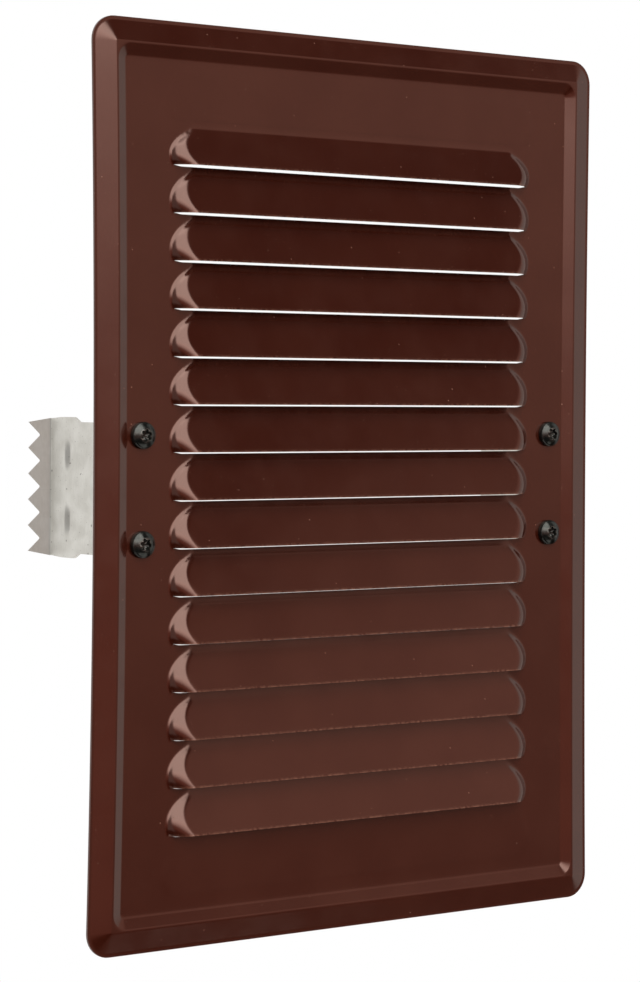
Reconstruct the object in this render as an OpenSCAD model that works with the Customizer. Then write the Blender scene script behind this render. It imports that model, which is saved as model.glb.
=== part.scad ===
// Chimney vent grille: a pressed steel louvre plate held in the flue by two toothed spring clips.
// The wall's face is the plane y = 0. The louvres face -Y, the clips reach into the flue along +Y, and +Z is up.

/* [Cover plate] */
// Width of the plate
plate_w = 170; // [140:1:300]
// Height of the plate
plate_h = 240; // [140:1:400]
// Thickness of the sheet, measured square to the wall
sheet_t = 0.7; // [0.5:0.05:1]
// Width of the flat margin that bears on the wall
edge_land = 0.8; // [0.5:0.1:3]
// Width of the sloping bevel inside that margin
bevel_w = 5.4; // [3:0.1:12]
// Width of the flat top of the rim's ridge
ridge_land = 0.5; // [0.3:0.1:3]
// Width of the slope from the ridge down to the field
step_w = 3; // [2:0.1:8]
// Height of the ridge above the flat margin
ridge_rise = 1.5; // [1:0.1:4]
// Gap between the wall's plane and the back of the field
field_lift = 0.2; // [0.1:0.05:0.6]
// Radius of the ridge's outer corners
ridge_corner_r = 0.4; // [0.2:0.1:4]
// Radius of the field's corners
field_corner_r = 1.2; // [0.3:0.1:6]

/* [Louvres] */
// Distance from one louvre's lip to the next
louvre_pitch = 12.4; // [9:0.1:20]
// Height of a lip's outer edge above the field
hood_rise = 3.8; // [2.5:0.1:5]
// Distance by which each slot's lower edge is sheared below the lip
slot_gap = 0.4; // [0.2:0.05:1]
// Flat strip left between a slot and the foot of the hood below it
foot_land = 0.7; // [0.4:0.1:3]
// Height of the top hood, which starts from the flat field
first_hood_run = 9.7; // [6:0.1:12]
// Radius about which a hood's end turns down into the field
end_turn_r = 4; // [2.5:0.1:8]
// Flat width between the field's side edge and the louvres
side_margin = 14.4; // [12:0.1:40]
// Flat height between the field's top edge and the top hood
top_margin = 17.6; // [4:0.1:60]
// Least flat height below the last louvre
bottom_margin = 19; // [4:0.1:60]

/* [Spring clips] */
// Thickness of the clips' galvanised sheet
clip_t = 0.8; // [0.6:0.05:1.2]
// Overall height of a clip
clip_h = 37; // [32:0.5:60]
// Height of the clips' middle above the plate's middle
clip_z = -1; // [-20:0.5:20]
// Inside radius of the clips' bends
bend_r = 0.8; // [0.4:0.1:2]
// Gap between the field's side edge and the clip's leg
leg_gap = 0.3; // [0.1:0.1:2]
// Width of the flange behind the field
flange_w = 11; // [10.5:0.1:13]
// Radius of the flange's free corners
flange_corner_r = 2; // [0.5:0.1:3]
// Depth of the leg behind the wall's plane, up to the tongue's bend
leg_depth = 33.6; // [24:0.1:80]
// Height taken off each end of the clip beside the plate
root_inset = 1.3; // [0.5:0.1:2]
// Length of the slope that widens the leg to its full height
shoulder_run = 2.6; // [1:0.1:4]
// Length of the full height behind that slope
shoulder_land = 6; // [2:0.1:8]
// Length over which the leg narrows again, up to the tongue's bend
taper_run = 4.9; // [3:0.1:8]
// Height taken off each end of the clip at the tongue's bend
bend_inset = 0.35; // [0.1:0.05:1]

/* [Clip pockets] */
// Depth of the two stiffening pockets pressed into the leg
pocket_depth = 0.8; // [0.3:0.1:1.5]
// Width of a pocket's sloping wall
pocket_wall = 1.7; // [0.8:0.1:2]
// Radius of a pocket's floor corners
pocket_floor_r = 0.6; // [0.2:0.1:0.8]
// Depth behind the wall's plane at which the pockets start
pocket_start = 4; // [3:0.1:8]
// Distance from the pockets' far end to the tongue's bend
pocket_end_gap = 6.4; // [4:0.1:10]
// Height from the clip's end to the nearer pocket
pocket_edge_gap = 5.4; // [3:0.1:6]
// Height between the two pockets
pocket_gap = 7.8; // [2:0.1:9]

/* [Clip teeth] */
// Angle by which the tongue is bent outwards
tongue_angle = 45; // [20:1:70]
// Length of the tongue from its bend to the tooth tips
tongue_len = 5.9; // [4.5:0.1:12]
// Number of teeth
tooth_count = 6; // [4:1:8]
// Angle between a tooth's flanks
tooth_angle = 92; // [80:1:110]
// Radius at the bottom between two teeth
valley_r = 0.45; // [0.2:0.05:0.8]
// Height from the clip's end to the outermost tooth tip
tip_inset = 1.4; // [0.8:0.1:3]

/* [Screws] */
// Diameter of the screw head
head_d = 7; // [5.5:0.1:8]
// Height of the screw head
head_h = 2.6; // [2:0.1:3.2]
// Radius of the head's domed top
dome_r = 5; // [4.2:0.1:9]
// Diameter across the lobes of the drive recess
lobe_d = 3.35; // [2.8:0.05:4]
// Diameter across the recess between its lobes
lobe_root_d = 2.4; // [2:0.05:2.7]
// Radius of each lobe's rounded tip
lobe_r = 0.42; // [0.3:0.02:0.5]
// Depth of the drive recess below the top of the head
drive_depth = 1.5; // [1:0.1:1.8]
// Diameter of the hole threaded into the clip, and of the screw's shank in it
shank_d = 2.9; // [2.4:0.1:3.5]
// Length of the screw under its head
screw_len = 9.5; // [6.5:0.5:19]
// Length of the screw's point
point_len = 2.5; // [1.5:0.1:4]
// Diameter of the flat end of the point
point_d = 0.6; // [0.3:0.1:1]
// Clearance round the shank in the plate
hole_clearance = 0.6; // [0.3:0.05:0.8]
// Distance from the screw's middle to the leg's outer face
screw_to_leg = 5.6; // [5:0.1:5.8]
// Distance from the screw's middle to the flange's end
screw_to_end = 3.2; // [2.5:0.1:6]

/* [Hidden] */
$fn = 48;

paint = [0.28, 0.13, 0.10];
zinc = [0.74, 0.73, 0.70];
black_zinc = [0.09, 0.10, 0.09];

// How far a cutting shape runs past the face that it cuts
over = 1;

// The rim, from the plate's outer edge to the field
ridge_inset = edge_land + bevel_w;
step_inset = ridge_inset + ridge_land;
rim_w = step_inset + step_w;
step_drop = ridge_rise - field_lift;
corner_r = ridge_corner_r + ridge_inset;
field_front = field_lift + sheet_t;
field_w = plate_w - 2 * rim_w;
field_h = plate_h - 2 * rim_w;

// The louvre bank: lips are counted down from the top, as many as the field takes
louvre_space = field_h - top_margin - bottom_margin - first_hood_run - slot_gap;
louvre_count = floor(louvre_space / louvre_pitch) + 1;
hood_run = louvre_pitch - slot_gap - foot_land;
hood_end_len = sqrt(pow(end_turn_r + hood_rise, 2) - pow(end_turn_r, 2));
louvre_half = field_w / 2 - side_margin;
straight_half = louvre_half - hood_end_len;

// Number of flats that a small arc in an outline is drawn with
ARC_STEPS = 6;

// The clips, from the leg's outer face inwards
leg_x = field_w / 2 - leg_gap;
flange_y = -field_lift;
bend_outer_r = bend_r + clip_t;
root_h = clip_h - 2 * root_inset;
bend_h = clip_h - 2 * bend_inset;
leg_start = flange_y + bend_outer_r;
tongue_bend_x = leg_x + bend_r;
taper_start = leg_depth - taper_run;
shoulder_end = taper_start - shoulder_land;
tooth_pitch = (clip_h - 2 * tip_inset) / (tooth_count - 1);
pocket_len = leg_depth - pocket_end_gap - pocket_start;
pocket_h = (clip_h - 2 * pocket_edge_gap - pocket_gap) / 2;
pocket_y = pocket_start + pocket_len / 2;
pocket_z = (pocket_h + pocket_gap) / 2;

// The screws, four at the ends of the two flanges
screw_x = leg_x - screw_to_leg;
screw_z = root_h / 2 - screw_to_end;
plate_hole_d = shank_d + 2 * hole_clearance;

// Point at a distance and an angle from [x, y]
function polar(x, y, r, a) = [x + r * cos(a), y + r * sin(a)];

// Points of an arc about [x, y], from one angle to another
function arc_points(x, y, r, from, to) =
    [for (i = [0 : ARC_STEPS]) polar(x, y, r, from + (to - from) * i / ARC_STEPS)];

// The same points the other way round
function reversed(points) = [for (i = [len(points) - 1 : -1 : 0]) points[i]];

// Height of the lip of louvre i above the plate's middle
function lip_height(i) = field_h / 2 - top_margin - first_hood_run - i * louvre_pitch;

// Run of the slope of hood i, from its lip up to its foot
function run_of(i) = i == 0 ? first_hood_run : hood_run;

// Turns a shape drawn with x right, y up and z outwards so that it faces -Y
module facing() {
    rotate([90, 0, 0])
        children();
}

// Outline of the plate
module plate_outline() {
    inner_w = plate_w - 2 * corner_r;
    inner_h = plate_h - 2 * corner_r;
    square([inner_w, plate_h], center = true);
    square([plate_w, inner_h], center = true);
    for (sx = [-1, 1], sy = [-1, 1])
        translate([sx * inner_w / 2, sy * inner_h / 2])
            circle(corner_r);
}

// Half of a pad's section: a straight foot below zero, then a slope that narrows by inset over the rise
function pad_half(reach, inset, rise, foot) =
    [[reach, -foot], [reach, 0], [reach - inset, rise]];

// Section of a pad across its whole width
module pad_section(reach, inset, rise, foot) {
    half = pad_half(reach, inset, rise, foot);
    polygon(concat(half, [for (p = reversed(half)) [-p[0], p[1]]]));
}

// Flat-topped pad with rounded corners, whose base is w by h and lies at zero
module tapered_pad(w, h, r, inset, rise, foot) {
    inner_w = w / 2 - r;
    inner_h = h / 2 - r;
    rotate([90, 0, 90])
        linear_extrude(2 * inner_w, center = true)
            pad_section(h / 2, inset, rise, foot);
    rotate([90, 0, 0])
        linear_extrude(2 * inner_h, center = true)
            pad_section(w / 2, inset, rise, foot);
    for (mx = [0, 1], my = [0, 1])
        mirror([mx, 0, 0])
            mirror([0, my, 0])
                translate([inner_w, inner_h, 0])
                    rotate_extrude(angle = 90)
                        polygon(concat([[0, -foot]], pad_half(r, inset, rise, foot), [[0, rise]]));
}

// Bevel that rises from the flat margin to the ridge
module bevel_pad(foot) {
    w = plate_w - 2 * edge_land;
    h = plate_h - 2 * edge_land;
    tapered_pad(w, h, corner_r - edge_land, bevel_w, ridge_rise, foot);
}

// Room inside the ridge, down the step to the field, drawn for the sheet's back
module step_recess() {
    w = plate_w - 2 * step_inset;
    h = plate_h - 2 * step_inset;
    translate([0, 0, ridge_rise])
        mirror([0, 0, 1])
            tapered_pad(w, h, field_corner_r + step_w, step_w, step_drop, over);
}

// Everything behind the sheet
module behind_sheet() {
    difference() {
        bevel_pad(over);
        step_recess();
    }
}

// Rim and field, pressed from one flat blank
module pressed_blank() {
    difference() {
        union() {
            linear_extrude(sheet_t)
                plate_outline();
            translate([0, 0, sheet_t])
                bevel_pad(sheet_t);
        }
        translate([0, 0, sheet_t])
            step_recess();
        behind_sheet();
    }
}

// Sweeps a section along a louvre: straight, then turned down into the field at both ends.
// The section's x is its distance from the turning axis, which lies end_turn_r behind the field's front.
module along_louvre(i) {
    translate([0, lip_height(i), field_front - end_turn_r]) {
        rotate([0, -90, 0])
            linear_extrude(2 * straight_half, center = true)
                children();
        for (side = [0, 1])
            mirror([side, 0, 0])
                translate([straight_half, 0, 0])
                    rotate([-90, -90, 0])
                        rotate_extrude(angle = 90)
                            children();
    }
}

// Section of a hood's outside: a wedge from the lip up to the foot, set into half the sheet
module hood_outside(i) {
    base = -sheet_t / 2;
    slope = hood_rise / run_of(i);
    polygon([
        [end_turn_r + base, 0],
        [end_turn_r + hood_rise, 0],
        [end_turn_r + base, (hood_rise - base) / slope]
    ]);
}

// Section of a hood's inside, which also shears the slot below the lip
module hood_inside(i) {
    base = -sheet_t - over;
    slope = hood_rise / run_of(i);
    inner_rise = hood_rise - sheet_t / cos(atan(slope));
    polygon([
        [end_turn_r + base, -slot_gap],
        [end_turn_r + inner_rise + slot_gap * slope, -slot_gap],
        [end_turn_r + base, (inner_rise - base) / slope]
    ]);
}

// Half space in front of the middle of the field's sheet
module front_of_field() {
    translate([0, 0, field_front - sheet_t / 2 + hood_rise])
        cube([field_w, field_h, 2 * hood_rise], center = true);
}

// Places its children at each of the four screws
module at_screws() {
    for (sx = [-1, 1], sz = [-1, 1])
        translate([sx * screw_x, clip_z + sz * screw_z, 0])
            children();
}

// The cover plate with its bank of louvres
module grille_plate() {
    color(paint)
        facing()
            difference() {
                union() {
                    pressed_blank();
                    intersection() {
                        union()
                            for (i = [0 : louvre_count - 1])
                                along_louvre(i)
                                    hood_outside(i);
                        front_of_field();
                    }
                }
                for (i = [0 : louvre_count - 1])
                    along_louvre(i)
                        hood_inside(i);
                at_screws()
                    translate([0, 0, field_lift - over])
                        cylinder(d = plate_hole_d, h = sheet_t + 2 * over);
            }
}

// One face of the bent strip: the flange, its bend, the leg, the tongue's bend, and on past the teeth
function strip_face(flange_r, tongue_r) =
    let (last = 180 - tongue_angle, at_bend = polar(tongue_bend_x, leg_depth, tongue_r, last))
    concat(
        [[leg_x - flange_w, leg_start - flange_r]],
        arc_points(leg_x - bend_outer_r, leg_start, flange_r, -90, 0),
        arc_points(tongue_bend_x, leg_depth, tongue_r, 180, last),
        [polar(at_bend[0], at_bend[1], tongue_len + over, 90 - tongue_angle)]
    );

// The strip from the flange to the tongue, folded but not yet cut to its outline
module folded_strip() {
    linear_extrude(clip_h + 2 * over, center = true)
        polygon(concat(strip_face(bend_outer_r, bend_r), reversed(strip_face(bend_r, bend_outer_r))));
}

// Outline of the strip seen along X: narrow beside the plate, with a wider shoulder behind
module strip_outline() {
    upper = [
        [flange_y - over, root_h / 2],
        [shoulder_end - shoulder_run, root_h / 2],
        [shoulder_end, clip_h / 2],
        [taper_start, clip_h / 2],
        [leg_depth, bend_h / 2],
        [leg_depth + bend_outer_r + tongue_len + 2 * over, bend_h / 2]
    ];
    translate([leg_x - flange_w - over, 0, 0])
        rotate([90, 0, 90])
            linear_extrude(flange_w + bend_outer_r + tongue_len + 2 * over)
                polygon(concat(upper, [for (p = reversed(upper)) [p[0], -p[1]]]));
}

// What is cut from the flange: its screw holes, and its free corners outside their radius
module flange_waste() {
    r = flange_corner_r;
    for (side = [0, 1])
        mirror([0, side, 0]) {
            translate([screw_x, screw_z])
                cylinder(d = shank_d, h = clip_t + 2 * over);
            translate([leg_x - flange_w + r, root_h / 2 - r])
                linear_extrude(clip_t + 2 * over)
                    polygon(concat(
                        [[-r - over, 0]],
                        arc_points(0, 0, r, 180, 90),
                        [[0, r + over], [-r - over, r + over]]
                    ));
        }
}

// What the teeth's cutter takes off the tongue. x runs from the tongue's bend to the tips, and y is height.
module tooth_waste() {
    flank = tooth_angle / 2;
    tip_z = clip_h / 2 - tip_inset;
    valley_x = tongue_len - tooth_pitch / 2 / tan(flank) + valley_r / sin(flank);
    valleys = [for (i = [0 : tooth_count - 2]) tip_z - (i + 0.5) * tooth_pitch];
    teeth = [
        for (z = valleys)
            each concat(
                [[tongue_len, z + tooth_pitch / 2]],
                arc_points(valley_x, z, valley_r, 90 + flank, 270 - flank)
            )
    ];
    side = bend_h / 2;
    far = tongue_len + 2 * over;
    polygon(concat(
        [[far, side + over], [0, side + over], [0, side]],
        teeth,
        [[tongue_len, -tip_z], [0, -side], [0, -side - over], [far, -side - over]]
    ));
}

// Places its children at the leg's two pockets, on the plane at x, facing the flue's middle
module at_pockets(x) {
    for (sz = [-1, 1])
        translate([x, pocket_y, sz * pocket_z])
            rotate([-90, 0, 90])
                children();
}

// Shape of one pocket
module pocket_pad(foot) {
    tapered_pad(pocket_len, pocket_h, pocket_floor_r + pocket_wall, pocket_wall, pocket_depth, foot);
}

// One clip, drawn for the right-hand side
module clip() {
    color(zinc)
        translate([0, 0, clip_z])
            difference() {
                union() {
                    intersection() {
                        folded_strip();
                        strip_outline();
                    }
                    at_pockets(leg_x - clip_t)
                        pocket_pad(clip_t / 2);
                }
                at_pockets(leg_x)
                    pocket_pad(over);
                facing()
                    translate([0, 0, field_lift - clip_t - over])
                        flange_waste();
                translate([tongue_bend_x, leg_depth, 0])
                    rotate([0, 0, -tongue_angle])
                        translate([-bend_outer_r - over, 0, 0])
                            rotate([90, 0, 90])
                                linear_extrude(clip_t + 2 * over)
                                    tooth_waste();
            }
}

module clip_right() {
    clip();
}

module clip_left() {
    mirror([1, 0, 0])
        clip();
}

// Six-lobe outline of the drive recess
module drive_outline() {
    circle(d = lobe_root_d);
    for (a = [0 : 60 : 300])
        rotate(a)
            translate([lobe_d / 2 - lobe_r, 0])
                circle(lobe_r);
}

// Pan head with a domed top and a six-lobe recess
module screw_head() {
    difference() {
        intersection() {
            cylinder(d = head_d, h = head_h);
            translate([0, 0, head_h - dome_r])
                sphere(dome_r);
        }
        translate([0, 0, head_h - drive_depth])
            linear_extrude(drive_depth + over)
                drive_outline();
    }
}

// Screw at one corner of the pair of clips: sx and sz give its side
module screw(sx, sz) {
    color(black_zinc)
        facing()
            translate([sx * screw_x, clip_z + sz * screw_z, field_front]) {
                screw_head();
                translate([0, 0, point_len - screw_len])
                    cylinder(d = shank_d, h = screw_len - point_len);
                translate([0, 0, -screw_len])
                    cylinder(d1 = point_d, d2 = shank_d, h = point_len);
            }
}

grille_plate();
clip_left();
clip_right();
screw(-1, 1);  // screw_upper_left
screw(-1, -1);  // screw_lower_left
screw(1, 1);  // screw_upper_right
screw(1, -1);  // screw_lower_right
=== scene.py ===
"""Looks of the chimney vent grille: a louvred cover plate, two toothed spring clips and four screws."""
import logging
import math
from dataclasses import dataclass
from enum import Enum

import bmesh
import bpy
from mathutils import Matrix, Vector, noise


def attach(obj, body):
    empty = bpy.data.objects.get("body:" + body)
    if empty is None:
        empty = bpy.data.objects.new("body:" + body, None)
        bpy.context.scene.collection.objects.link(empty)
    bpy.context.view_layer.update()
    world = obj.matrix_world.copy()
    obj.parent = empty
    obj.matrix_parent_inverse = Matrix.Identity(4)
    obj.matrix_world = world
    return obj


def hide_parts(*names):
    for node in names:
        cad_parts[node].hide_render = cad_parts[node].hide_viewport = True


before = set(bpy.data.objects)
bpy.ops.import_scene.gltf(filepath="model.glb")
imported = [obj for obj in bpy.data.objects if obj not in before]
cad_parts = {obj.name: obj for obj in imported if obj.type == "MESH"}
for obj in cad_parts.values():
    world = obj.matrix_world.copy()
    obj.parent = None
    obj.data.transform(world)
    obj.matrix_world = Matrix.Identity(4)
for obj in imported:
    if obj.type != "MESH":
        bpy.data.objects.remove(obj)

MM = 0.001
IMAGE_H = 982
BODY = "root"

log = logging.getLogger("vent_grille")


# ---------------------------------------------------------------- node trees


class TreeKind(Enum):
    """The two kinds of node group that the script builds."""

    SHAPE = "GeometryNodeTree"
    SHADE = "ShaderNodeTree"


class Num:
    """A number that varies over a mesh or a surface, held as a socket of one node tree."""

    def __init__(self, tree: bpy.types.NodeTree, socket: bpy.types.NodeSocket) -> None:
        """Keeps the tree and the socket that gives the number."""
        self.tree = tree
        self.socket = socket

    @staticmethod
    def calc(operation: str, *values: "Num | float", clamp: bool = False) -> "Num":
        """Adds one Math node.

        Args:
            operation: the Math node's operation.
            values: its inputs, numbers or fixed values, at least one of them a number of a tree.
            clamp: whether the result is kept between 0 and 1.

        Returns:
            The node's result.
        """
        tree = next(v.tree for v in values if isinstance(v, Num))
        node = tree.nodes.new("ShaderNodeMath")
        node.operation = operation
        node.use_clamp = clamp
        for slot, value in zip(node.inputs, values):
            if isinstance(value, Num):
                tree.links.new(value.socket, slot)
            else:
                slot.default_value = value
        return Num(tree, node.outputs[0])

    def __add__(self, other: "Num | float") -> "Num":
        """Sum."""
        return Num.calc("ADD", self, other)

    def __radd__(self, other: float) -> "Num":
        """Sum with the fixed value first."""
        return Num.calc("ADD", other, self)

    def __sub__(self, other: "Num | float") -> "Num":
        """Difference."""
        return Num.calc("SUBTRACT", self, other)

    def __rsub__(self, other: float) -> "Num":
        """Difference with the fixed value first."""
        return Num.calc("SUBTRACT", other, self)

    def __mul__(self, other: "Num | float") -> "Num":
        """Product."""
        return Num.calc("MULTIPLY", self, other)

    def __rmul__(self, other: float) -> "Num":
        """Product with the fixed value first."""
        return Num.calc("MULTIPLY", other, self)

    def __truediv__(self, other: "Num | float") -> "Num":
        """Quotient."""
        return Num.calc("DIVIDE", self, other)

    def __rtruediv__(self, other: float) -> "Num":
        """Quotient with the fixed value first."""
        return Num.calc("DIVIDE", other, self)

    def __abs__(self) -> "Num":
        """Size without sign."""
        return Num.calc("ABSOLUTE", self)

    def at_least(self, floor: "Num | float") -> "Num":
        """The larger of this and the floor."""
        return Num.calc("MAXIMUM", self, floor)

    def root(self) -> "Num":
        """Square root."""
        return Num.calc("SQRT", self)

    def share(self, low: "Num | float", high: "Num | float") -> "Num":
        """0 at low and below, 1 at high and above, and straight between them."""
        return Num.calc("MULTIPLY", (self - low) / (high - low), 1.0, clamp=True)

    def ease(self, low: "Num | float", high: "Num | float") -> "Num":
        """As share, with soft ends."""
        t = self.share(low, high)
        return t * t * (3.0 - 2.0 * t)

    def soft_positive(self, blend: "Num | float") -> "Num":
        """Rounds the corner of max(x, 0).

        Args:
            blend: how far on each side of zero the rounding reaches.

        Returns:
            Zero below -blend, the number itself above blend, and a parabola between.
        """
        rising = self.at_least(0.0 - blend) + blend
        near = Num.calc("MINIMUM", rising, blend * 2.0)
        return near * near / (blend * 4.0) + (self - blend).at_least(0.0)


class Group:
    """Builds one node group with named sockets."""

    def __init__(self, name: str, kind: TreeKind) -> None:
        """Starts an empty group.

        Args:
            name: the group's name.
            kind: whether it makes a shape or a shade.
        """
        self.tree = bpy.data.node_groups.new(name, kind.value)
        self.start = self.tree.nodes.new("NodeGroupInput")
        self.end = self.tree.nodes.new("NodeGroupOutput")

    def takes(self, name: str, value: object = None, kind: str = "NodeSocketFloat") -> bpy.types.NodeSocket:
        """Adds an input.

        Args:
            name: the input's name.
            value: its default, or None where it has none.
            kind: its socket type.

        Returns:
            The socket that gives the input inside the group.
        """
        item = self.tree.interface.new_socket(name=name, in_out="INPUT", socket_type=kind)
        if value is not None:
            item.default_value = value
        return next(s for s in self.start.outputs if s.identifier == item.identifier)

    def size(self, name: str, value: float) -> Num:
        """Adds a float input, and gives it as a number."""
        return Num(self.tree, self.takes(name, value))

    def gives(self, name: str, socket: "Num | bpy.types.NodeSocket", kind: str = "NodeSocketFloat") -> None:
        """Adds an output and links it.

        Args:
            name: the output's name.
            socket: what it gives.
            kind: its socket type.
        """
        item = self.tree.interface.new_socket(name=name, in_out="OUTPUT", socket_type=kind)
        slot = next(s for s in self.end.inputs if s.identifier == item.identifier)
        self.link(socket, slot)

    def link(self, source: "Num | bpy.types.NodeSocket | float", slot: bpy.types.NodeSocket) -> None:
        """Links a source to a slot, or sets the slot to a fixed value."""
        if isinstance(source, Num):
            source = source.socket
        if isinstance(source, bpy.types.NodeSocket):
            self.tree.links.new(source, slot)
        else:
            slot.default_value = source

    def node(self, kind: str, inputs: dict[str, object] | None = None, **settings: object) -> bpy.types.Node:
        """Adds a node.

        Args:
            kind: the node's type.
            inputs: what goes into its sockets, by name.
            settings: its own properties.

        Returns:
            The node.
        """
        made = self.tree.nodes.new(kind)
        for key, value in settings.items():
            setattr(made, key, value)
        for key, value in (inputs or {}).items():
            self.link(value, made.inputs[key])
        return made

    def num(self, node: bpy.types.Node, output: str | int = 0) -> Num:
        """One output of a node, as a number."""
        return Num(self.tree, node.outputs[output])

    def vector(self, x: "Num | float", y: "Num | float", z: "Num | float") -> bpy.types.NodeSocket:
        """A vector put together from three numbers."""
        return self.node("ShaderNodeCombineXYZ", {"X": x, "Y": y, "Z": z}).outputs[0]


def shape_group(name: str) -> Group:
    """A geometry node group."""
    return Group(name, TreeKind.SHAPE)


def shade_group(name: str) -> Group:
    """A shader node group."""
    return Group(name, TreeKind.SHADE)


# ---------------------------------------------------------------- shared effects


class Effects:
    """The shader groups that the paint, the zinc and the screws share, each built once."""

    def __init__(self) -> None:
        """Builds all the groups."""
        self.specks = self._specks()
        self.mottle = self._mottle()
        self.grit = self._grit()

    @staticmethod
    def _specks() -> bpy.types.NodeTree:
        """Small round specks, scattered over the surface.

        Returns:
            A group with a Mask output, 1 on a speck.
        """
        g = shade_group("specks")
        place = g.takes("Vector", kind="NodeSocketVector")
        spacing = g.size("Spacing", 3.0 * MM)
        reach = g.size("Reach", 0.15 * MM)
        amount = g.size("Amount", 0.3)
        split_place = g.node("ShaderNodeSeparateXYZ", {"Vector": place})
        across = g.num(split_place, "X") + g.num(split_place, "Y")
        cells = g.node(
            "ShaderNodeTexVoronoi",
            {"Vector": g.vector(across, g.num(split_place, "Z"), 0.0), "Scale": 1.0 / spacing, "Randomness": 1.0},
            voronoi_dimensions="2D",
        )
        split = g.node("ShaderNodeSeparateColor", {"Color": cells.outputs["Color"]})
        chosen = Num.calc("LESS_THAN", g.num(split, 0), amount)
        radius = reach * (0.4 + g.num(split, 1)) / spacing
        near = g.num(cells, "Distance")
        g.gives("Mask", chosen * (1.0 - near.share(radius * 0.6, radius * 1.2)))
        return g.tree

    @staticmethod
    def _mottle() -> bpy.types.NodeTree:
        """Slow cloudy variation.

        Returns:
            A group with a Value output between Low and High.
        """
        g = shade_group("mottle")
        place = g.takes("Vector", kind="NodeSocketVector")
        spacing = g.size("Spacing", 30.0 * MM)
        detail = g.size("Detail", 3.0)
        low = g.size("Low", 0.0)
        high = g.size("High", 1.0)
        cloud = g.node("ShaderNodeTexNoise", {"Vector": place, "Scale": 1.0 / spacing, "Detail": detail})
        g.gives("Value", low + (high - low) * g.num(cloud, 0).ease(0.3, 0.7))
        return g.tree

    @staticmethod
    def _grit() -> bpy.types.NodeTree:
        """Fine relief of a coating: a slow swell and fine grain.

        Returns:
            A group with a Height output.
        """
        g = shade_group("grit")
        place = g.takes("Vector", kind="NodeSocketVector")
        swell = g.size("Swell Spacing", 2.5 * MM)
        grain = g.size("Grain Spacing", 0.5 * MM)
        share = g.size("Grain Share", 0.2)
        slow = g.node("ShaderNodeTexNoise", {"Vector": place, "Scale": 1.0 / swell, "Detail": 1.0})
        fine = g.node("ShaderNodeTexNoise", {"Vector": place, "Scale": 1.0 / grain, "Detail": 2.0})
        g.gives("Height", g.num(slow, 0) * (1.0 - share) + g.num(fine, 0) * share)
        return g.tree


class Finish:
    """One material in the making: its Principled shader, and the groups that feed it."""

    def __init__(self, name: str) -> None:
        """Starts the material.

        Args:
            name: the finish's name.
        """
        self.material = bpy.data.materials.new(name)
        self.material.use_nodes = True
        self.tree = self.material.node_tree
        self.shader = self.tree.nodes["Principled BSDF"]
        self.place = self.tree.nodes.new("ShaderNodeTexCoord").outputs["Object"]

    def group(self, tree: bpy.types.NodeTree, **values: object) -> Num:
        """Places a shared group.

        Args:
            tree: the group.
            values: its inputs, with underscores for spaces. Vector is Object coordinates unless given.

        Returns:
            The group's first output.
        """
        node = self.tree.nodes.new("ShaderNodeGroup")
        node.node_tree = tree
        self.tree.links.new(self.place, node.inputs["Vector"])
        for key, value in values.items():
            slot = node.inputs[key.replace("_", " ")]
            if isinstance(value, (Num, bpy.types.NodeSocket)):
                self.tree.links.new(value.socket if isinstance(value, Num) else value, slot)
            else:
                slot.default_value = value
        return Num(self.tree, node.outputs[0])

    def attribute(self, name: str) -> Num:
        """A number stored on the mesh."""
        node = self.tree.nodes.new("ShaderNodeAttribute")
        node.attribute_name = name
        return Num(self.tree, node.outputs["Fac"])

    def stretched(self, x: float, y: float, z: float) -> bpy.types.NodeSocket:
        """Object coordinates scaled along each axis, for a grain that runs one way."""
        node = self.tree.nodes.new("ShaderNodeMapping")
        node.inputs["Scale"].default_value = (x, y, z)
        self.tree.links.new(self.place, node.inputs["Vector"])
        return node.outputs[0]

    def blend(self, mask: Num, low: object, high: object) -> bpy.types.NodeSocket:
        """Mixes two colours.

        Args:
            mask: 0 for the first colour and 1 for the second.
            low: the first colour, a tuple or a socket.
            high: the second colour.

        Returns:
            The mixed colour.
        """
        node = self.tree.nodes.new("ShaderNodeMix")
        node.data_type = "RGBA"
        self.tree.links.new(mask.socket, node.inputs["Factor"])
        for slot, colour in ((node.inputs[6], low), (node.inputs[7], high)):
            if isinstance(colour, bpy.types.NodeSocket):
                self.tree.links.new(colour, slot)
            else:
                slot.default_value = (*colour, 1.0)
        return node.outputs[2]

    def feed(self, name: str, source: "Num | bpy.types.NodeSocket") -> None:
        """Links a varying colour or number to the shader."""
        self.tree.links.new(source.socket if isinstance(source, Num) else source, self.shader.inputs[name])

    def fix(self, **values: object) -> None:
        """Sets the shader's own sockets, with underscores for spaces."""
        for key, value in values.items():
            self.shader.inputs[key.replace("_", " ")].default_value = value

    def relief(self, height: Num, depth: float) -> None:
        """Bumps the surface.

        Args:
            height: the relief, from 0 to 1.
            depth: its depth in metres.
        """
        node = self.tree.nodes.new("ShaderNodeBump")
        node.inputs["Strength"].default_value = 1.0
        node.inputs["Distance"].default_value = depth
        self.tree.links.new(height.socket, node.inputs["Height"])
        self.tree.links.new(node.outputs[0], self.shader.inputs["Normal"])


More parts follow.
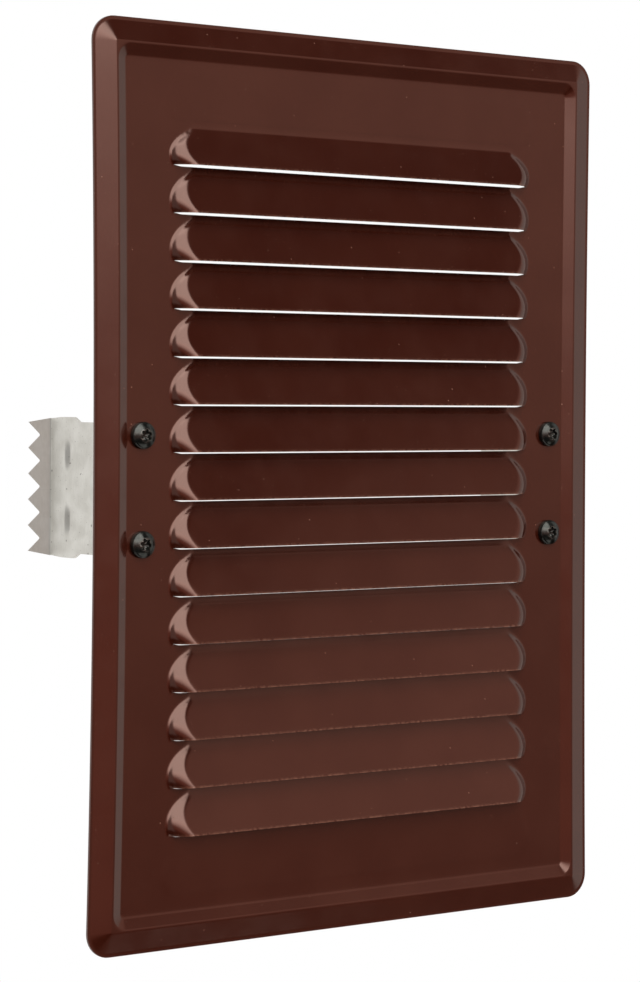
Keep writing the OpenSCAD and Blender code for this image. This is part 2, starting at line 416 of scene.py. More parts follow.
@dataclass(frozen=True)
class ChocolateEnamel:
    """Glossy brown enamel on pressed steel."""

    tone: tuple[float, float, float] = (0.033, 0.0056, 0.0026)
    worn_tone: tuple[float, float, float] = (0.040, 0.0085, 0.0045)
    # pale colour of the dust specks; also the colour of the painted highlight along the louvre lips
    dust: tuple[float, float, float] = (0.30, 0.16, 0.11)
    gloss_tint: tuple[float, float, float] = (1.0, 0.66, 0.56)
    gloss: float = 1.0
    roughness: float = 0.13
    swell: float = 2.5 * MM
    relief: float = 0.004 * MM

    def build(self, effects: Effects) -> bpy.types.Material:
        """Makes the material.

        Args:
            effects: the shared groups.

        Returns:
            The finished material.
        """
        f = Finish("chocolate_enamel")
        clouds = f.group(effects.mottle, Spacing=26.0 * MM, Detail=4.0)
        dust = f.group(effects.specks, Spacing=3.2 * MM, Reach=0.13 * MM, Amount=0.035)
        grains = f.group(effects.specks, Spacing=1.1 * MM, Reach=0.05 * MM, Amount=0.03)
        lint = Num.calc("MAXIMUM", dust, grains)
        base = f.blend(clouds, self.tone, self.worn_tone)
        # painted highlight: each louvre's lip is lightened towards the pale colour in mottled patches, standing in for
        # the light line that its edge catches
        lip_highlight = f.group(effects.mottle, Spacing=0.9 * MM, Detail=3.0) * f.attribute("lip")
        tone_with_lip_highlight = f.blend(lip_highlight * 0.5, base, self.dust)
        f.feed("Base Color", f.blend(lint * 0.55, tone_with_lip_highlight, self.dust))
        smear = f.group(effects.mottle, Spacing=9.0 * MM, Detail=3.0, Low=-0.02, High=0.035)
        f.feed("Roughness", smear + lint * 0.3 + self.roughness)
        f.fix(
            Specular_IOR_Level=self.gloss,
            Specular_Tint=(*self.gloss_tint, 1.0),
            IOR=1.5,
        )
        height = f.group(effects.grit, Swell_Spacing=self.swell, Grain_Spacing=0.45 * MM, Grain_Share=0.1)
        f.relief(height + lint * 3.0, self.relief)
        return f.material


@dataclass(frozen=True)
class GalvanisedSheet:
    """Bright zinc-coated sheet with fine dark specks."""

    tone: tuple[float, float, float] = (0.70, 0.68, 0.63)
    dull_tone: tuple[float, float, float] = (0.60, 0.58, 0.53)
    speck: tuple[float, float, float] = (0.16, 0.14, 0.12)
    roughness: float = 0.42
    relief: float = 0.012 * MM

    def build(self, effects: Effects) -> bpy.types.Material:
        """Makes the material.

        Args:
            effects: the shared groups.

        Returns:
            The finished material.
        """
        f = Finish("galvanised_sheet")
        grain = f.stretched(1.0, 1.0, 0.22)
        clouds = f.group(effects.mottle, Spacing=4.0 * MM, Detail=5.0)
        lines = f.group(effects.mottle, Vector=grain, Spacing=0.5 * MM, Detail=2.0)
        tone = f.blend(clouds * 0.7 + lines * 0.3, self.dull_tone, self.tone)
        pits = f.group(effects.specks, Spacing=0.9 * MM, Reach=0.10 * MM, Amount=0.22)
        spots = f.group(effects.specks, Spacing=3.5 * MM, Reach=0.24 * MM, Amount=0.16)
        dark = Num.calc("MAXIMUM", pits * 0.45, spots * 0.6)
        f.feed("Base Color", f.blend(dark, tone, self.speck))
        f.feed("Roughness", clouds * -0.06 + dark * 0.3 + self.roughness)
        f.fix(Metallic=1.0)
        height = f.group(effects.grit, Swell_Spacing=1.6 * MM, Grain_Spacing=0.35 * MM, Grain_Share=0.35)
        f.relief(height - dark, self.relief)
        return f.material


@dataclass(frozen=True)
class BlackPlating:
    """Glossy black plating on the screws."""

    tone: tuple[float, float, float] = (0.030, 0.033, 0.030)
    # pale tone, for slight mottling and for the painted highlight on the recess's rim
    bright_tone: tuple[float, float, float] = (0.22, 0.22, 0.20)
    roughness: float = 0.16
    relief: float = 0.02 * MM

    def build(self, effects: Effects) -> bpy.types.Material:
        """Makes the material.

        Args:
            effects: the shared groups.

        Returns:
            The finished material.
        """
        f = Finish("black_plating")
        clouds = f.group(effects.mottle, Spacing=0.9 * MM, Detail=4.0)
        # painted highlight: the drive recess's rim is lightened towards the pale tone in mottled patches, standing in
        # for the glints on the lobes' edges
        rim_highlight = f.group(effects.mottle, Spacing=0.5 * MM, Detail=3.0) * f.attribute("rim")
        f.feed("Base Color", f.blend(clouds * 0.12 + rim_highlight * 0.6, self.tone, self.bright_tone))
        f.feed("Roughness", clouds * 0.1 + self.roughness)
        f.fix(Metallic=0.85, Specular_IOR_Level=0.8)
        f.relief(f.group(effects.grit, Swell_Spacing=1.1 * MM, Grain_Spacing=0.3 * MM, Grain_Share=0.3), self.relief)
        return f.material


# ---------------------------------------------------------------- mesh helpers


Point2 = tuple[float, float]


def rounded_line(corners: list[tuple[float, float, float]], steps: int) -> list[Point2]:
    """Follows a line of corners, each turned with its own radius.

    Args:
        corners: (x, y, radius) of each corner.
        steps: number of flats in each turn.

    Returns:
        The points of the line.
    """
    points = [corners[0][:2]]
    for before, here, after in zip(corners, corners[1:], corners[2:]):
        spot = Vector(here[:2])
        into = (spot - Vector(before[:2])).normalized()
        out = (Vector(after[:2]) - spot).normalized()
        turn = into.angle(out, 0.0)
        if here[2] <= 0.0 or turn < 1e-6:
            points.append(here[:2])
            continue
        reach = here[2] * math.tan(turn / 2)
        for i in range(steps + 1):
            t = i / steps
            a, b = spot - into * reach, spot + out * reach
            points.append(tuple(a.lerp(spot, t).lerp(spot.lerp(b, t), t)))
    points.append(corners[-1][:2])
    return points


def finish_mesh(
    name: str, bm: bmesh.types.BMesh, material: bpy.types.Material, chamfer: float, angle: float = 50.0
) -> bpy.types.Object:
    """Turns a bmesh into a piece, with its sharp edges broken.

    Args:
        name: the piece's name.
        bm: its mesh, which is freed.
        material: its finish.
        chamfer: width of the broken edges in metres.
        angle: edges sharper than this are broken, in degrees.

    Returns:
        The piece.
    """
    mesh = bpy.data.meshes.new(name)
    bm.to_mesh(mesh)
    bm.free()
    piece = bpy.data.objects.new(name, mesh)
    bpy.context.scene.collection.objects.link(piece)
    mesh.materials.append(material)
    mesh.polygons.foreach_set("use_smooth", [True] * len(mesh.polygons))
    if chamfer > 0.0:
        bevel = piece.modifiers.new("broken_edges", "BEVEL")
        bevel.width = chamfer
        bevel.segments = 2
        bevel.limit_method = "ANGLE"
        bevel.angle_limit = math.radians(angle)
        bevel.use_clamp_overlap = True
        bevel.harden_normals = True
    return piece


def set_modifiers(piece: bpy.types.Object) -> None:
    """Replaces a piece's mesh by its evaluated mesh, and removes the modifiers."""
    bpy.context.view_layer.update()
    graph = bpy.context.evaluated_depsgraph_get()
    made = bpy.data.meshes.new_from_object(piece.evaluated_get(graph), preserve_all_data_layers=True, depsgraph=graph)
    piece.modifiers.clear()
    old = piece.data
    piece.data = made
    bpy.data.meshes.remove(old)
    made.name = piece.name


def run_tree(name: str, tree: bpy.types.NodeTree, values: dict[str, object], base: bpy.types.Mesh | None = None) -> bpy.types.Mesh:
    """Runs a geometry tree on a mesh and gives the plain result.

    Args:
        name: name of the result.
        tree: the tree.
        values: its inputs by name.
        base: the mesh it starts from, or None for an empty one.

    Returns:
        The mesh it makes.
    """
    holder = bpy.data.objects.new(name, base or bpy.data.meshes.new(name))
    bpy.context.scene.collection.objects.link(holder)
    modifier = holder.modifiers.new("maker", "NODES")
    modifier.node_group = tree
    known = {i.name: i.identifier for i in tree.interface.items_tree if i.in_out == "INPUT"}
    for key, value in values.items():
        modifier[known[key]] = value
    bpy.context.view_layer.update()
    graph = bpy.context.evaluated_depsgraph_get()
    made = bpy.data.meshes.new_from_object(holder.evaluated_get(graph), preserve_all_data_layers=True, depsgraph=graph)
    holder.modifiers.clear()
    bpy.data.objects.remove(holder)
    return made


def report(piece: bpy.types.Object) -> None:
    """Logs a piece's name and size."""
    graph = bpy.context.evaluated_depsgraph_get()
    mesh = piece.evaluated_get(graph).to_mesh()
    mesh.calc_loop_triangles()
    log.info("%s: %d triangles", piece.name, len(mesh.loop_triangles))
    piece.evaluated_get(graph).to_mesh_clear()


def join_the_part(piece: bpy.types.Object, node: str) -> None:
    """Puts a piece on the part's body in place of a CAD node.

    Args:
        piece: the finished piece.
        node: the node that it stands for.
    """
    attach(piece, BODY)
    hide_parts(node)
    report(piece)


# ---------------------------------------------------------------- cover plate


@dataclass
class CoverPlate:
    """The pressed steel plate: bevelled rim, flat field and fifteen louvres, from one sheet."""

    width: float = 170.0 * MM
    height: float = 240.0 * MM
    sheet: float = 0.7 * MM
    edge_land: float = 0.8 * MM
    bevel: float = 5.4 * MM
    ridge_land: float = 0.5 * MM
    step: float = 3.0 * MM
    ridge_rise: float = 1.5 * MM
    field_front: float = 0.9 * MM
    outer_corner: float = 6.6 * MM
    inner_corner: float = 10.9 * MM
    louvre_count: int = 15
    pitch: float = 12.4 * MM
    top_lip: float = 83.0 * MM
    rise: float = 3.8 * MM
    run: float = 11.3 * MM
    first_run: float = 9.7 * MM
    end_turn: float = 4.0 * MM
    tip: float = 60.9 * MM
    slot_gap: float = 0.4 * MM
    foot_blend: float = 0.22 * MM
    bulge: float = 2.6 * MM
    bank_half: float = 72.0 * MM
    bank_top: float = 106.0 * MM
    bank_bottom: float = 106.0 * MM
    bow: float = 1.2 * MM
    bow_shift: float = 0.3 * MM
    ripple: float = 0.07 * MM
    hole: float = 4.1 * MM
    hole_x: float = 69.4 * MM
    hole_z: tuple[float, float] = (13.0 * MM, -15.0 * MM)
    chamfer: float = 0.1 * MM

    COLUMNS = 80
    ROWS = 20
    MID_SHARE = 0.15
    END_SHARE = 0.9
    CORNER_STEPS = 10
    SIDE_STEPS = 24
    BEND_STEPS = 4

    def hood_cell(self) -> bpy.types.NodeTree:
        """Builds the group that makes one louvre and the strip of sheet above it.

        Returns:
            The group. Its lip lies on z = 0, and the sheet's front on y = 0.
        """
        g = shape_group("hood_cell")
        length = g.size("Length", self.pitch)
        run = g.size("Run", self.run)
        rise = g.size("Rise", self.rise)
        gap = g.size("Slot Gap", self.slot_gap)
        turn = g.size("End Turn", self.end_turn)
        blend = g.size("Foot Blend", self.foot_blend)
        bulge = g.size("End Bulge", self.bulge)
        tip = g.size("Half Length", self.tip)
        side = g.size("Side", self.bank_half)
        rows = g.takes("Rows", self.ROWS + 1, "NodeSocketInt")

        grid = g.node(
            "GeometryNodeMeshGrid", {"Size X": 2.0, "Size Y": 1.0, "Vertices X": self.COLUMNS + 1, "Vertices Y": rows}
        )
        place = g.node("ShaderNodeSeparateXYZ", {"Vector": g.node("GeometryNodeInputPosition").outputs[0]})
        u, v = g.num(place, "X"), g.num(place, "Y") + 0.5
        out = abs(u)

        # the middle of the turned end, from which the slot's tip lies where the dome meets the field
        base = turn - blend
        centre = tip - ((turn + rise) * (turn + rise) - base * base).root()
        dense = centre - 3.0 * MM
        far = tip + 2.4 * MM
        x = (
            out.share(0.0, self.MID_SHARE) * dense
            + out.share(self.MID_SHARE, self.END_SHARE) * (far - dense)
            + out.share(self.END_SHARE, 1.0) * (side - far)
        )
        open_here = (tip - x).ease(0.0, 3.0 * MM)
        s = (length - gap * open_here) * v * (0.62 + 0.38 * v)

        fall = rise * (1.0 - s / run)
        swell = (s / run).share(0.0, 0.9)
        middle = centre + bulge * 4.0 * swell * (1.0 - swell)
        beyond = (x - middle).soft_positive(0.6 * MM)
        section = (turn + fall).at_least(0.0)
        dome = (section * section - beyond * beyond).at_least(0.0).root() - turn
        h = dome.soft_positive(blend)
        # mask along each louvre's lip, where the enamel paints its highlight
        lip = (1.0 - s.share(0.0, 0.5 * MM)) * h.share(0.3 * MM, 1.0 * MM)
        kept = g.node(
            "GeometryNodeStoreNamedAttribute",
            {"Geometry": grid.outputs["Mesh"], "Name": "lip", "Value": lip},
            data_type="FLOAT",
            domain="POINT",
        )
        moved = g.node(
            "GeometryNodeSetPosition",
            {
                "Geometry": kept.outputs[0],
                "Position": g.vector(x * Num.calc("SIGN", u), 0.0 - h, s),
            },
        )
        g.gives("Geometry", moved.outputs[0], "NodeSocketGeometry")
        return g.tree

    def louvre_bank(self) -> bpy.types.Mesh:
        """Makes the field with its louvres, open at each slot.

        Returns:
            The front face of the sheet, on y = 0.
        """
        cell = self.hood_cell()
        g = shape_group("louvre_bank")
        count = g.takes("Louvres Below The First", self.louvre_count - 1, "NodeSocketInt")
        pitch = g.size("Pitch", self.pitch)
        top_lip = g.size("First Lip", self.top_lip)
        last_lip = g.size("Last Lip", self.top_lip - (self.louvre_count - 1) * self.pitch)
        first_run = g.size("First Run", self.first_run)
        bank_top = g.size("Top", self.bank_top)
        bank_bottom = g.size("Bottom", self.bank_bottom)
        flat_rows = g.takes("Margin Rows", 9, "NodeSocketInt")

        def placed(inputs: dict[str, object], height: Num) -> bpy.types.NodeSocket:
            """One cell with its own sizes, moved up to its height."""
            hood = g.node("GeometryNodeGroup", node_tree=cell)
            for key, value in inputs.items():
                g.link(value, hood.inputs[key])
            shift = g.vector(0.0, 0.0, height)
            return g.node("GeometryNodeTransform", {"Geometry": hood.outputs[0], "Translation": shift}).outputs[0]

        line = g.node(
            "GeometryNodeMeshLine",
            {"Count": count, "Start Location": g.vector(0.0, 0.0, top_lip - pitch), "Offset": g.vector(0.0, 0.0, 0.0 - pitch)},
        )
        common = g.node("GeometryNodeGroup", node_tree=cell)
        row = g.node(
            "GeometryNodeInstanceOnPoints", {"Points": line.outputs["Mesh"], "Instance": common.outputs[0]}
        )
        first_len = self.first_run + 2.0 * MM
        first = placed({"Length": first_len, "Run": first_run, "Slot Gap": 0.0}, top_lip)
        above = placed(
            {"Length": bank_top - top_lip - first_len, "Rise": 0.0, "Slot Gap": 0.0, "Rows": flat_rows, "Half Length": self.tip},
            top_lip + first_len,
        )
        below = placed({"Length": bank_bottom + last_lip, "Rise": 0.0, "Rows": flat_rows}, 0.0 - bank_bottom)
        joined = g.node("GeometryNodeJoinGeometry")
        for part in (row.outputs[0], first, above, below):
            g.tree.links.new(part, joined.inputs[0])
        real = g.node("GeometryNodeRealizeInstances", {"Geometry": joined.outputs[0]})
        merged = g.node("GeometryNodeMergeByDistance", {"Geometry": real.outputs[0], "Distance": 0.008 * MM})
        g.gives("Geometry", merged.outputs[0], "NodeSocketGeometry")
        return run_tree("louvre_bank", g.tree, {"Louvres Below The First": self.louvre_count - 1})

    def rim_loops(self) -> list[list[Vector]]:
        """Follows the rim's section round the plate.

        Returns:
            One closed loop for each point of the section, from the outer edge to the field, on the front face.
        """
        ridge = self.edge_land + self.bevel
        top = self.sheet + self.ridge_rise
        section = rounded_line(
            [
                (0.0, self.sheet, 0.0),
                (self.edge_land, self.sheet, 2.6 * MM),
                (ridge, top, 1.3 * MM),
                (ridge + self.ridge_land, top, 1.1 * MM),
                (ridge + self.ridge_land + self.step, self.field_front, 2.0 * MM),
                (self.inner_corner, self.field_front, 0.0),
            ],
            self.BEND_STEPS,
        )
        loops = []
        for inset, height in section:
            inner = min(max((inset - ridge) / self.ridge_land, 0.0), 1.0)
            mid = self.outer_corner + (self.inner_corner - self.outer_corner) * inner
            radius = max(mid - inset, 0.0)
            loop = []
            for corner, (sx, sz) in enumerate(((1, -1), (1, 1), (-1, 1), (-1, -1))):
                centre = Vector((sx * (self.width / 2 - mid), -height, sz * (self.height / 2 - mid)))
                start = corner * math.pi / 2 - math.pi / 2
                for i in range(self.CORNER_STEPS + 1):
                    a = start + i / self.CORNER_STEPS * math.pi / 2
                    loop.append(centre + Vector((math.cos(a), 0.0, math.sin(a))) * radius)
            whole = []
            for i, point in enumerate(loop):
                whole.append(point)
                if i % (self.CORNER_STEPS + 1) == self.CORNER_STEPS:
                    following = loop[(i + 1) % len(loop)]
                    whole += [point.lerp(following, k / self.SIDE_STEPS) for k in range(1, self.SIDE_STEPS)]
            loops.append(whole)
        return loops

    def add_rim(self, bm: bmesh.types.BMesh) -> list[bmesh.types.BMVert]:
        """Adds the rim's front face.

        Args:
            bm: the mesh to add it to.

        Returns:
            The vertices of its inner loop.
        """
        rings = [[bm.verts.new(p) for p in loop] for loop in self.rim_loops()]
        for outer, inner in zip(rings, rings[1:]):
            n = len(outer)
            for i in range(n):
                j = (i + 1) % n
                bm.faces.new((outer[i], outer[j], inner[j], inner[i]))
        return rings[-1]

    def zip_flat(self, bm: bmesh.types.BMesh, outer: list, inner: list, axis: int) -> None:
        """Fills the flat strip between two rows of vertices that run the same way.

        Args:
            bm: the mesh.
            outer: the outer row, sorted along the axis.
            inner: the inner row, sorted along the axis.
            axis: 0 for X and 2 for Z.
        """
        i = j = 0
        low_o, span_o = outer[0].co[axis], outer[-1].co[axis] - outer[0].co[axis]
        low_i, span_i = inner[0].co[axis], inner[-1].co[axis] - inner[0].co[axis]
        while i < len(outer) - 1 or j < len(inner) - 1:
            next_o = (outer[i + 1].co[axis] - low_o) / span_o if i < len(outer) - 1 else 9.0
            next_i = (inner[j + 1].co[axis] - low_i) / span_i if j < len(inner) - 1 else 9.0
            if next_o <= next_i:
                bm.faces.new((outer[i], outer[i + 1], inner[j]))
                i += 1
            else:
                bm.faces.new((outer[i], inner[j + 1], inner[j]))
                j += 1

    def join_field(self, bm: bmesh.types.BMesh) -> None:
        """Fills the flat strip between the louvre bank and the rim."""
        near = 0.01 * MM
        rim_x = self.width / 2 - self.inner_corner
        rim_z = self.height / 2 - self.inner_corner

        def row(axis: int, value: float, other: int, limit: float) -> list[bmesh.types.BMVert]:
            """The vertices on one side of a rectangle, sorted."""
            found = [
                v
                for v in bm.verts
                if abs(v.co[axis] - value) < near and abs(v.co[other]) < limit + near and abs(v.co.y + self.field_front) < near
            ]
            return sorted(found, key=lambda v: v.co[other])

        sides = (
            (2, self.bank_top, rim_z, 0, self.bank_half, rim_x),
            (2, -self.bank_bottom, -rim_z, 0, self.bank_half, rim_x),
            (0, self.bank_half, rim_x, 2, max(self.bank_top, self.bank_bottom), rim_z),
            (0, -self.bank_half, -rim_x, 2, max(self.bank_top, self.bank_bottom), rim_z),
        )
        rows = [(row(a, far, o, far_limit), row(a, at, o, limit), o) for a, at, far, o, limit, far_limit in sides]
        for outer, inner, other in rows:
            self.zip_flat(bm, outer, inner, other)

    def thicken(self, bm: bmesh.types.BMesh) -> None:
        """Gives the front face its thickness, measured square to the wall."""
        back = {v: bm.verts.new(v.co + Vector((0.0, self.sheet, 0.0))) for v in list(bm.verts)}
        layer = bm.verts.layers.float.get("lip")
        if layer:
            for v, b in back.items():
                b[layer] = v[layer]
        fronts = list(bm.faces)
        edges = [e for e in bm.edges if e.is_boundary]
        for face in fronts:
            bm.faces.new([back[v] for v in reversed(face.verts)])
        for e in edges:
            loop = e.link_loops[0]
            a, b = loop.vert, loop.link_loop_next.vert
            bm.faces.new((b, a, back[a], back[b]))

    def warp(self, bm: bmesh.types.BMesh) -> None:
        """Draws the long sides in where the louvres pull the sheet, and adds slow ripples to the field."""
        half_w, half_h = self.width / 2, self.height / 2
        for v in bm.verts:
            t = 1.0 - min(abs(v.co.z) / half_h, 1.0) ** 2
            edge = min(half_w - abs(v.co.x), half_h - abs(v.co.z))
            free = min(max((edge - 6.0 * MM) / (20.0 * MM), 0.0), 1.0)
            swell = noise.noise(Vector((v.co.x / (55 * MM), 3.1, v.co.z / (42 * MM))))
            v.co.x += t * (self.bow_shift - self.bow * v.co.x / half_w)
            v.co.y += swell * self.ripple * free

    def cut_holes(self, piece: bpy.types.Object) -> None:
        """Cuts the four clearance holes for the screws."""
        bm = bmesh.new()
        for sx in (-1, 1):
            for z in self.hole_z:
                place = Matrix.Translation((sx * self.hole_x, -self.field_front, z)) @ Matrix.Rotation(math.pi / 2, 4, "X")
                bmesh.ops.create_cone(
                    bm, cap_ends=True, segments=40, radius1=self.hole / 2, radius2=self.hole / 2, depth=6 * MM, matrix=place
                )
        mesh = bpy.data.meshes.new("hole_cutter")
        bm.to_mesh(mesh)
        bm.free()
        cutter = bpy.data.objects.new("hole_cutter", mesh)
        bpy.context.scene.collection.objects.link(cutter)
        cut = piece.modifiers.new("holes", "BOOLEAN")
        cut.operation = "DIFFERENCE"
        cut.object = cutter
        cut.solver = "EXACT"
        set_modifiers(piece)
        bpy.data.objects.remove(cutter)

    def build(self, finish: bpy.types.Material) -> bpy.types.Object:
        """Makes the plate.

        Args:
            finish: its paint.

        Returns:
            The piece, which stands for the CAD plate.
        """
        bm = bmesh.new()
        bank = self.louvre_bank()
        bm.from_mesh(bank)
        bpy.data.meshes.remove(bank)
        bmesh.ops.translate(bm, verts=bm.verts, vec=(0.0, -self.field_front, 0.0))
        self.add_rim(bm)
        bmesh.ops.remove_doubles(bm, verts=bm.verts, dist=0.004 * MM)
        self.join_field(bm)
        self.face_front(bm)
        self.warp(bm)
        self.thicken(bm)
        piece = finish_mesh("cover_plate", bm, finish, 0.0)
        self.cut_holes(piece)
        chamfered = bmesh.new()
        chamfered.from_mesh(piece.data)
        old = piece.data
        bpy.data.objects.remove(piece)
        bpy.data.meshes.remove(old)
        piece = finish_mesh("cover_plate", chamfered, finish, self.chamfer)
        set_modifiers(piece)
        join_the_part(piece, "grille_plate")
        return piece

    @staticmethod
    def face_front(bm: bmesh.types.BMesh) -> None:
        """Turns every face of the single sheet towards -Y."""
        bm.normal_update()
        turned = [f for f in bm.faces if f.normal.y > 0.0]
        bmesh.ops.reverse_faces(bm, faces=turned)


# ---------------------------------------------------------------- spring clips


class Side(Enum):
    """Which side of the plate a piece belongs to."""

    LEFT = -1
    RIGHT = 1


@dataclass
class SpringClip:
    """A toothed spring clip, bent from one strip of zinc-coated sheet."""

    side: Side
    sheet: float = 0.8 * MM
    middle: float = -1.0 * MM
    height: float = 37.0 * MM
    root_height: float = 34.4 * MM
    bend_height: float = 36.3 * MM
    leg_x: float = 75.0 * MM
    flange_width: float = 11.0 * MM
    flange_front: float = -0.2 * MM
    flange_corner: float = 2.0 * MM
    bend_r: float = 0.8 * MM
    leg_depth: float = 33.6 * MM
    shoulder_start: float = 20.1 * MM
    shoulder_end: float = 22.7 * MM
    taper_start: float = 28.7 * MM
    tongue_angle: float = 45.0
    tongue: float = 5.9 * MM
    teeth: int = 6
    tooth_angle: float = 92.0
    valley_r: float = 0.45 * MM
    tip_inset: float = 1.4 * MM
    pocket_mid: Point2 = (15.6 * MM, 8.5 * MM)
    pocket_size: Point2 = (23.2 * MM, 9.2 * MM)
    pocket_corner: float = 2.3 * MM
    pocket_wall: float = 1.7 * MM
    pocket_depth: float = 0.8 * MM
    chamfer: float = 0.07 * MM

    def tooth_line(self) -> list[Point2]:
        """Follows the toothed edge from the top tip to the bottom tip.

        Returns:
            (distance from the tongue's bend, height) of each point.
        """
        flank = math.radians(self.tooth_angle / 2)
        top = self.height / 2 - self.tip_inset
        pitch = 2 * top / (self.teeth - 1)
        valley = self.tongue - pitch / 2 / math.tan(flank) + self.valley_r / math.sin(flank)
        points: list[Point2] = []
        for i in range(self.teeth):
            tip = (self.tongue, top - i * pitch)
            if points:
                points.append(tuple(Vector(points[-1]).lerp(Vector(tip), 0.5)))
            points.append(tip)
            if i < self.teeth - 1:
                z = tip[1] - pitch / 2
                arc = []
                for k in range(7):
                    a = math.pi / 2 + flank + k / 6 * (math.pi - 2 * flank)
                    arc.append((valley + self.valley_r * math.cos(a), z + self.valley_r * math.sin(a)))
                points.append(tuple(Vector(tip).lerp(Vector(arc[0]), 0.5)))
                points += arc
        return points

    def columns(self) -> list[tuple[Vector, Vector, float, float]]:
        """Follows the folded strip from the flange's free end to the tongue's bend.

        Returns:
            For each column, the outer and inner point in plan, half the strip's height there, and how far along the leg it lies.
        """
        found = []
        outer_r = self.bend_r + self.sheet
        start = self.flange_front + outer_r
        free = self.leg_x - self.flange_width
        turn_x = self.leg_x - outer_r
        half = self.root_height / 2
        r = self.flange_corner
        stops = [r * (1 - math.cos(math.pi / 2 * k / 6)) for k in range(7)]
        stops += [r + (turn_x - free - r) * k / 8 for k in range(1, 9)]
        for t in stops:
            cut = 0.0 if t >= r else r - math.sqrt(max(r * r - (r - t) ** 2, 0.0))
            x = free + t
            found.append((Vector((x, self.flange_front)), Vector((x, self.flange_front + self.sheet)), half - cut, -1.0))
        for k in range(1, 9):
            a = -math.pi / 2 + k / 8 * math.pi / 2
            d = Vector((math.cos(a), math.sin(a)))
            c = Vector((turn_x, start))
            found.append((c + d * outer_r, c + d * self.bend_r, half, -1.0))
        steps = 96
        marks = sorted(
            {start + (self.leg_depth - start) * k / steps for k in range(1, steps + 1)}
            | {self.shoulder_start, self.shoulder_end, self.taper_start}
        )
        for y in marks:
            found.append((Vector((self.leg_x, y)), Vector((self.leg_x - self.sheet, y)), self.half_height(y), y))
        c = Vector((self.leg_x + self.bend_r, self.leg_depth))
        for k in range(1, 6):
            a = math.pi - k / 5 * math.radians(self.tongue_angle)
            d = Vector((math.cos(a), math.sin(a)))
            found.append((c + d * self.bend_r, c + d * outer_r, self.bend_height / 2, -1.0))
        return found

    def half_height(self, y: float) -> float:
        """Half the leg's height at a depth behind the wall's plane."""
        outline = rounded_line(
            [
                (0.0, self.root_height / 2, 0.0),
                (self.shoulder_start, self.root_height / 2, 1.2 * MM),
                (self.shoulder_end, self.height / 2, 1.6 * MM),
                (self.taper_start, self.height / 2, 2.5 * MM),
                (self.leg_depth, self.bend_height / 2, 0.0),
            ],
            3,
        )
        for (y0, h0), (y1, h1) in zip(outline, outline[1:]):
            if y0 <= y <= y1 and y1 > y0:
                return h0 + (h1 - h0) * (y - y0) / (y1 - y0)
        return outline[-1][1]

    def pocket(self, y: float, z: float) -> float:
        """How deep the pockets are pressed at a point of the leg."""
        if y < 0.0:
            return 0.0
        px = abs(y - self.pocket_mid[0]) - self.pocket_size[0] / 2 + self.pocket_corner
        pz = abs(abs(z) - self.pocket_mid[1]) - self.pocket_size[1] / 2 + self.pocket_corner
        outside = math.hypot(max(px, 0.0), max(pz, 0.0)) + min(max(px, pz), 0.0) - self.pocket_corner
        return self.pocket_depth * min(max(-outside / self.pocket_wall, 0.0), 1.0)

    def build(self, finish: bpy.types.Material) -> bpy.types.Object:
        """Makes the clip.

        Args:
            finish: its zinc.

        Returns:
            The piece, which stands for the CAD clip.
        """
        edge = self.tooth_line()
        top = edge[0][1]
        columns = self.columns()
        sign = self.side.value
        bm = bmesh.new()

        def vert(p: Vector, z: float) -> bmesh.types.BMVert:
            """A vertex on this clip's side."""
            return bm.verts.new((sign * p.x, p.y, self.middle + z))

        faces: list[list[list[bmesh.types.BMVert]]] = [[], []]
        for outer, inner, half, depth in columns:
            for sheet_face, p in zip(faces, (outer, inner)):
                column = []
                for _, z_tip in edge:
                    z = z_tip / top * half
                    sink = Vector((-self.pocket(depth, z), 0.0))
                    column.append(vert(p + sink, z))
                sheet_face.append(column)
        lead = math.radians(90 - self.tongue_angle)
        along = Vector((math.cos(lead), math.sin(lead)))
        outer, inner, half, _ = columns[-1]
        steps = 6
        for k in range(1, steps + 1):
            for sheet_face, p in zip(faces, (outer, inner)):
                column = []
                for reach, z_tip in edge:
                    t = k / steps
                    z0 = z_tip / top * half
                    column.append(vert(p + along * reach * t, z0 + (z_tip - z0) * t))
                sheet_face.append(column)
        front, rear = faces
        for grid, flip in ((front, False), (rear, True)):
            for a, b in zip(grid, grid[1:]):
                for j in range(len(edge) - 1):
                    quad = (a[j], a[j + 1], b[j + 1], b[j])
                    bm.faces.new(quad[::-1] if flip else quad)
        for f_col, r_col, flip in ((front[0], rear[0], False), (front[-1], rear[-1], True)):
            for j in range(len(edge) - 1):
                quad = (f_col[j], r_col[j], r_col[j + 1], f_col[j + 1])
                bm.faces.new(quad[::-1] if flip else quad)
        for j, flip in ((0, True), (len(edge) - 1, False)):
            for i in range(len(front) - 1):
                quad = (front[i][j], rear[i][j], rear[i + 1][j], front[i + 1][j])
                bm.faces.new(quad[::-1] if flip else quad)
        bmesh.ops.recalc_face_normals(bm, faces=bm.faces)
        piece = finish_mesh(f"spring_clip_{self.side.name.lower()}", bm, finish, self.chamfer)
        set_modifiers(piece)
        join_the_part(piece, f"clip_{self.side.name.lower()}")
        return piece


# ---------------------------------------------------------------- screws


class Corner(Enum):
    """The four screws, each with its side in X and its height."""

    UPPER_LEFT = (-1, 13.0 * MM, 20.0)
    LOWER_LEFT = (-1, -15.0 * MM, 48.0)
    UPPER_RIGHT = (1, 13.0 * MM, 5.0)
    LOWER_RIGHT = (1, -15.0 * MM, 33.0)


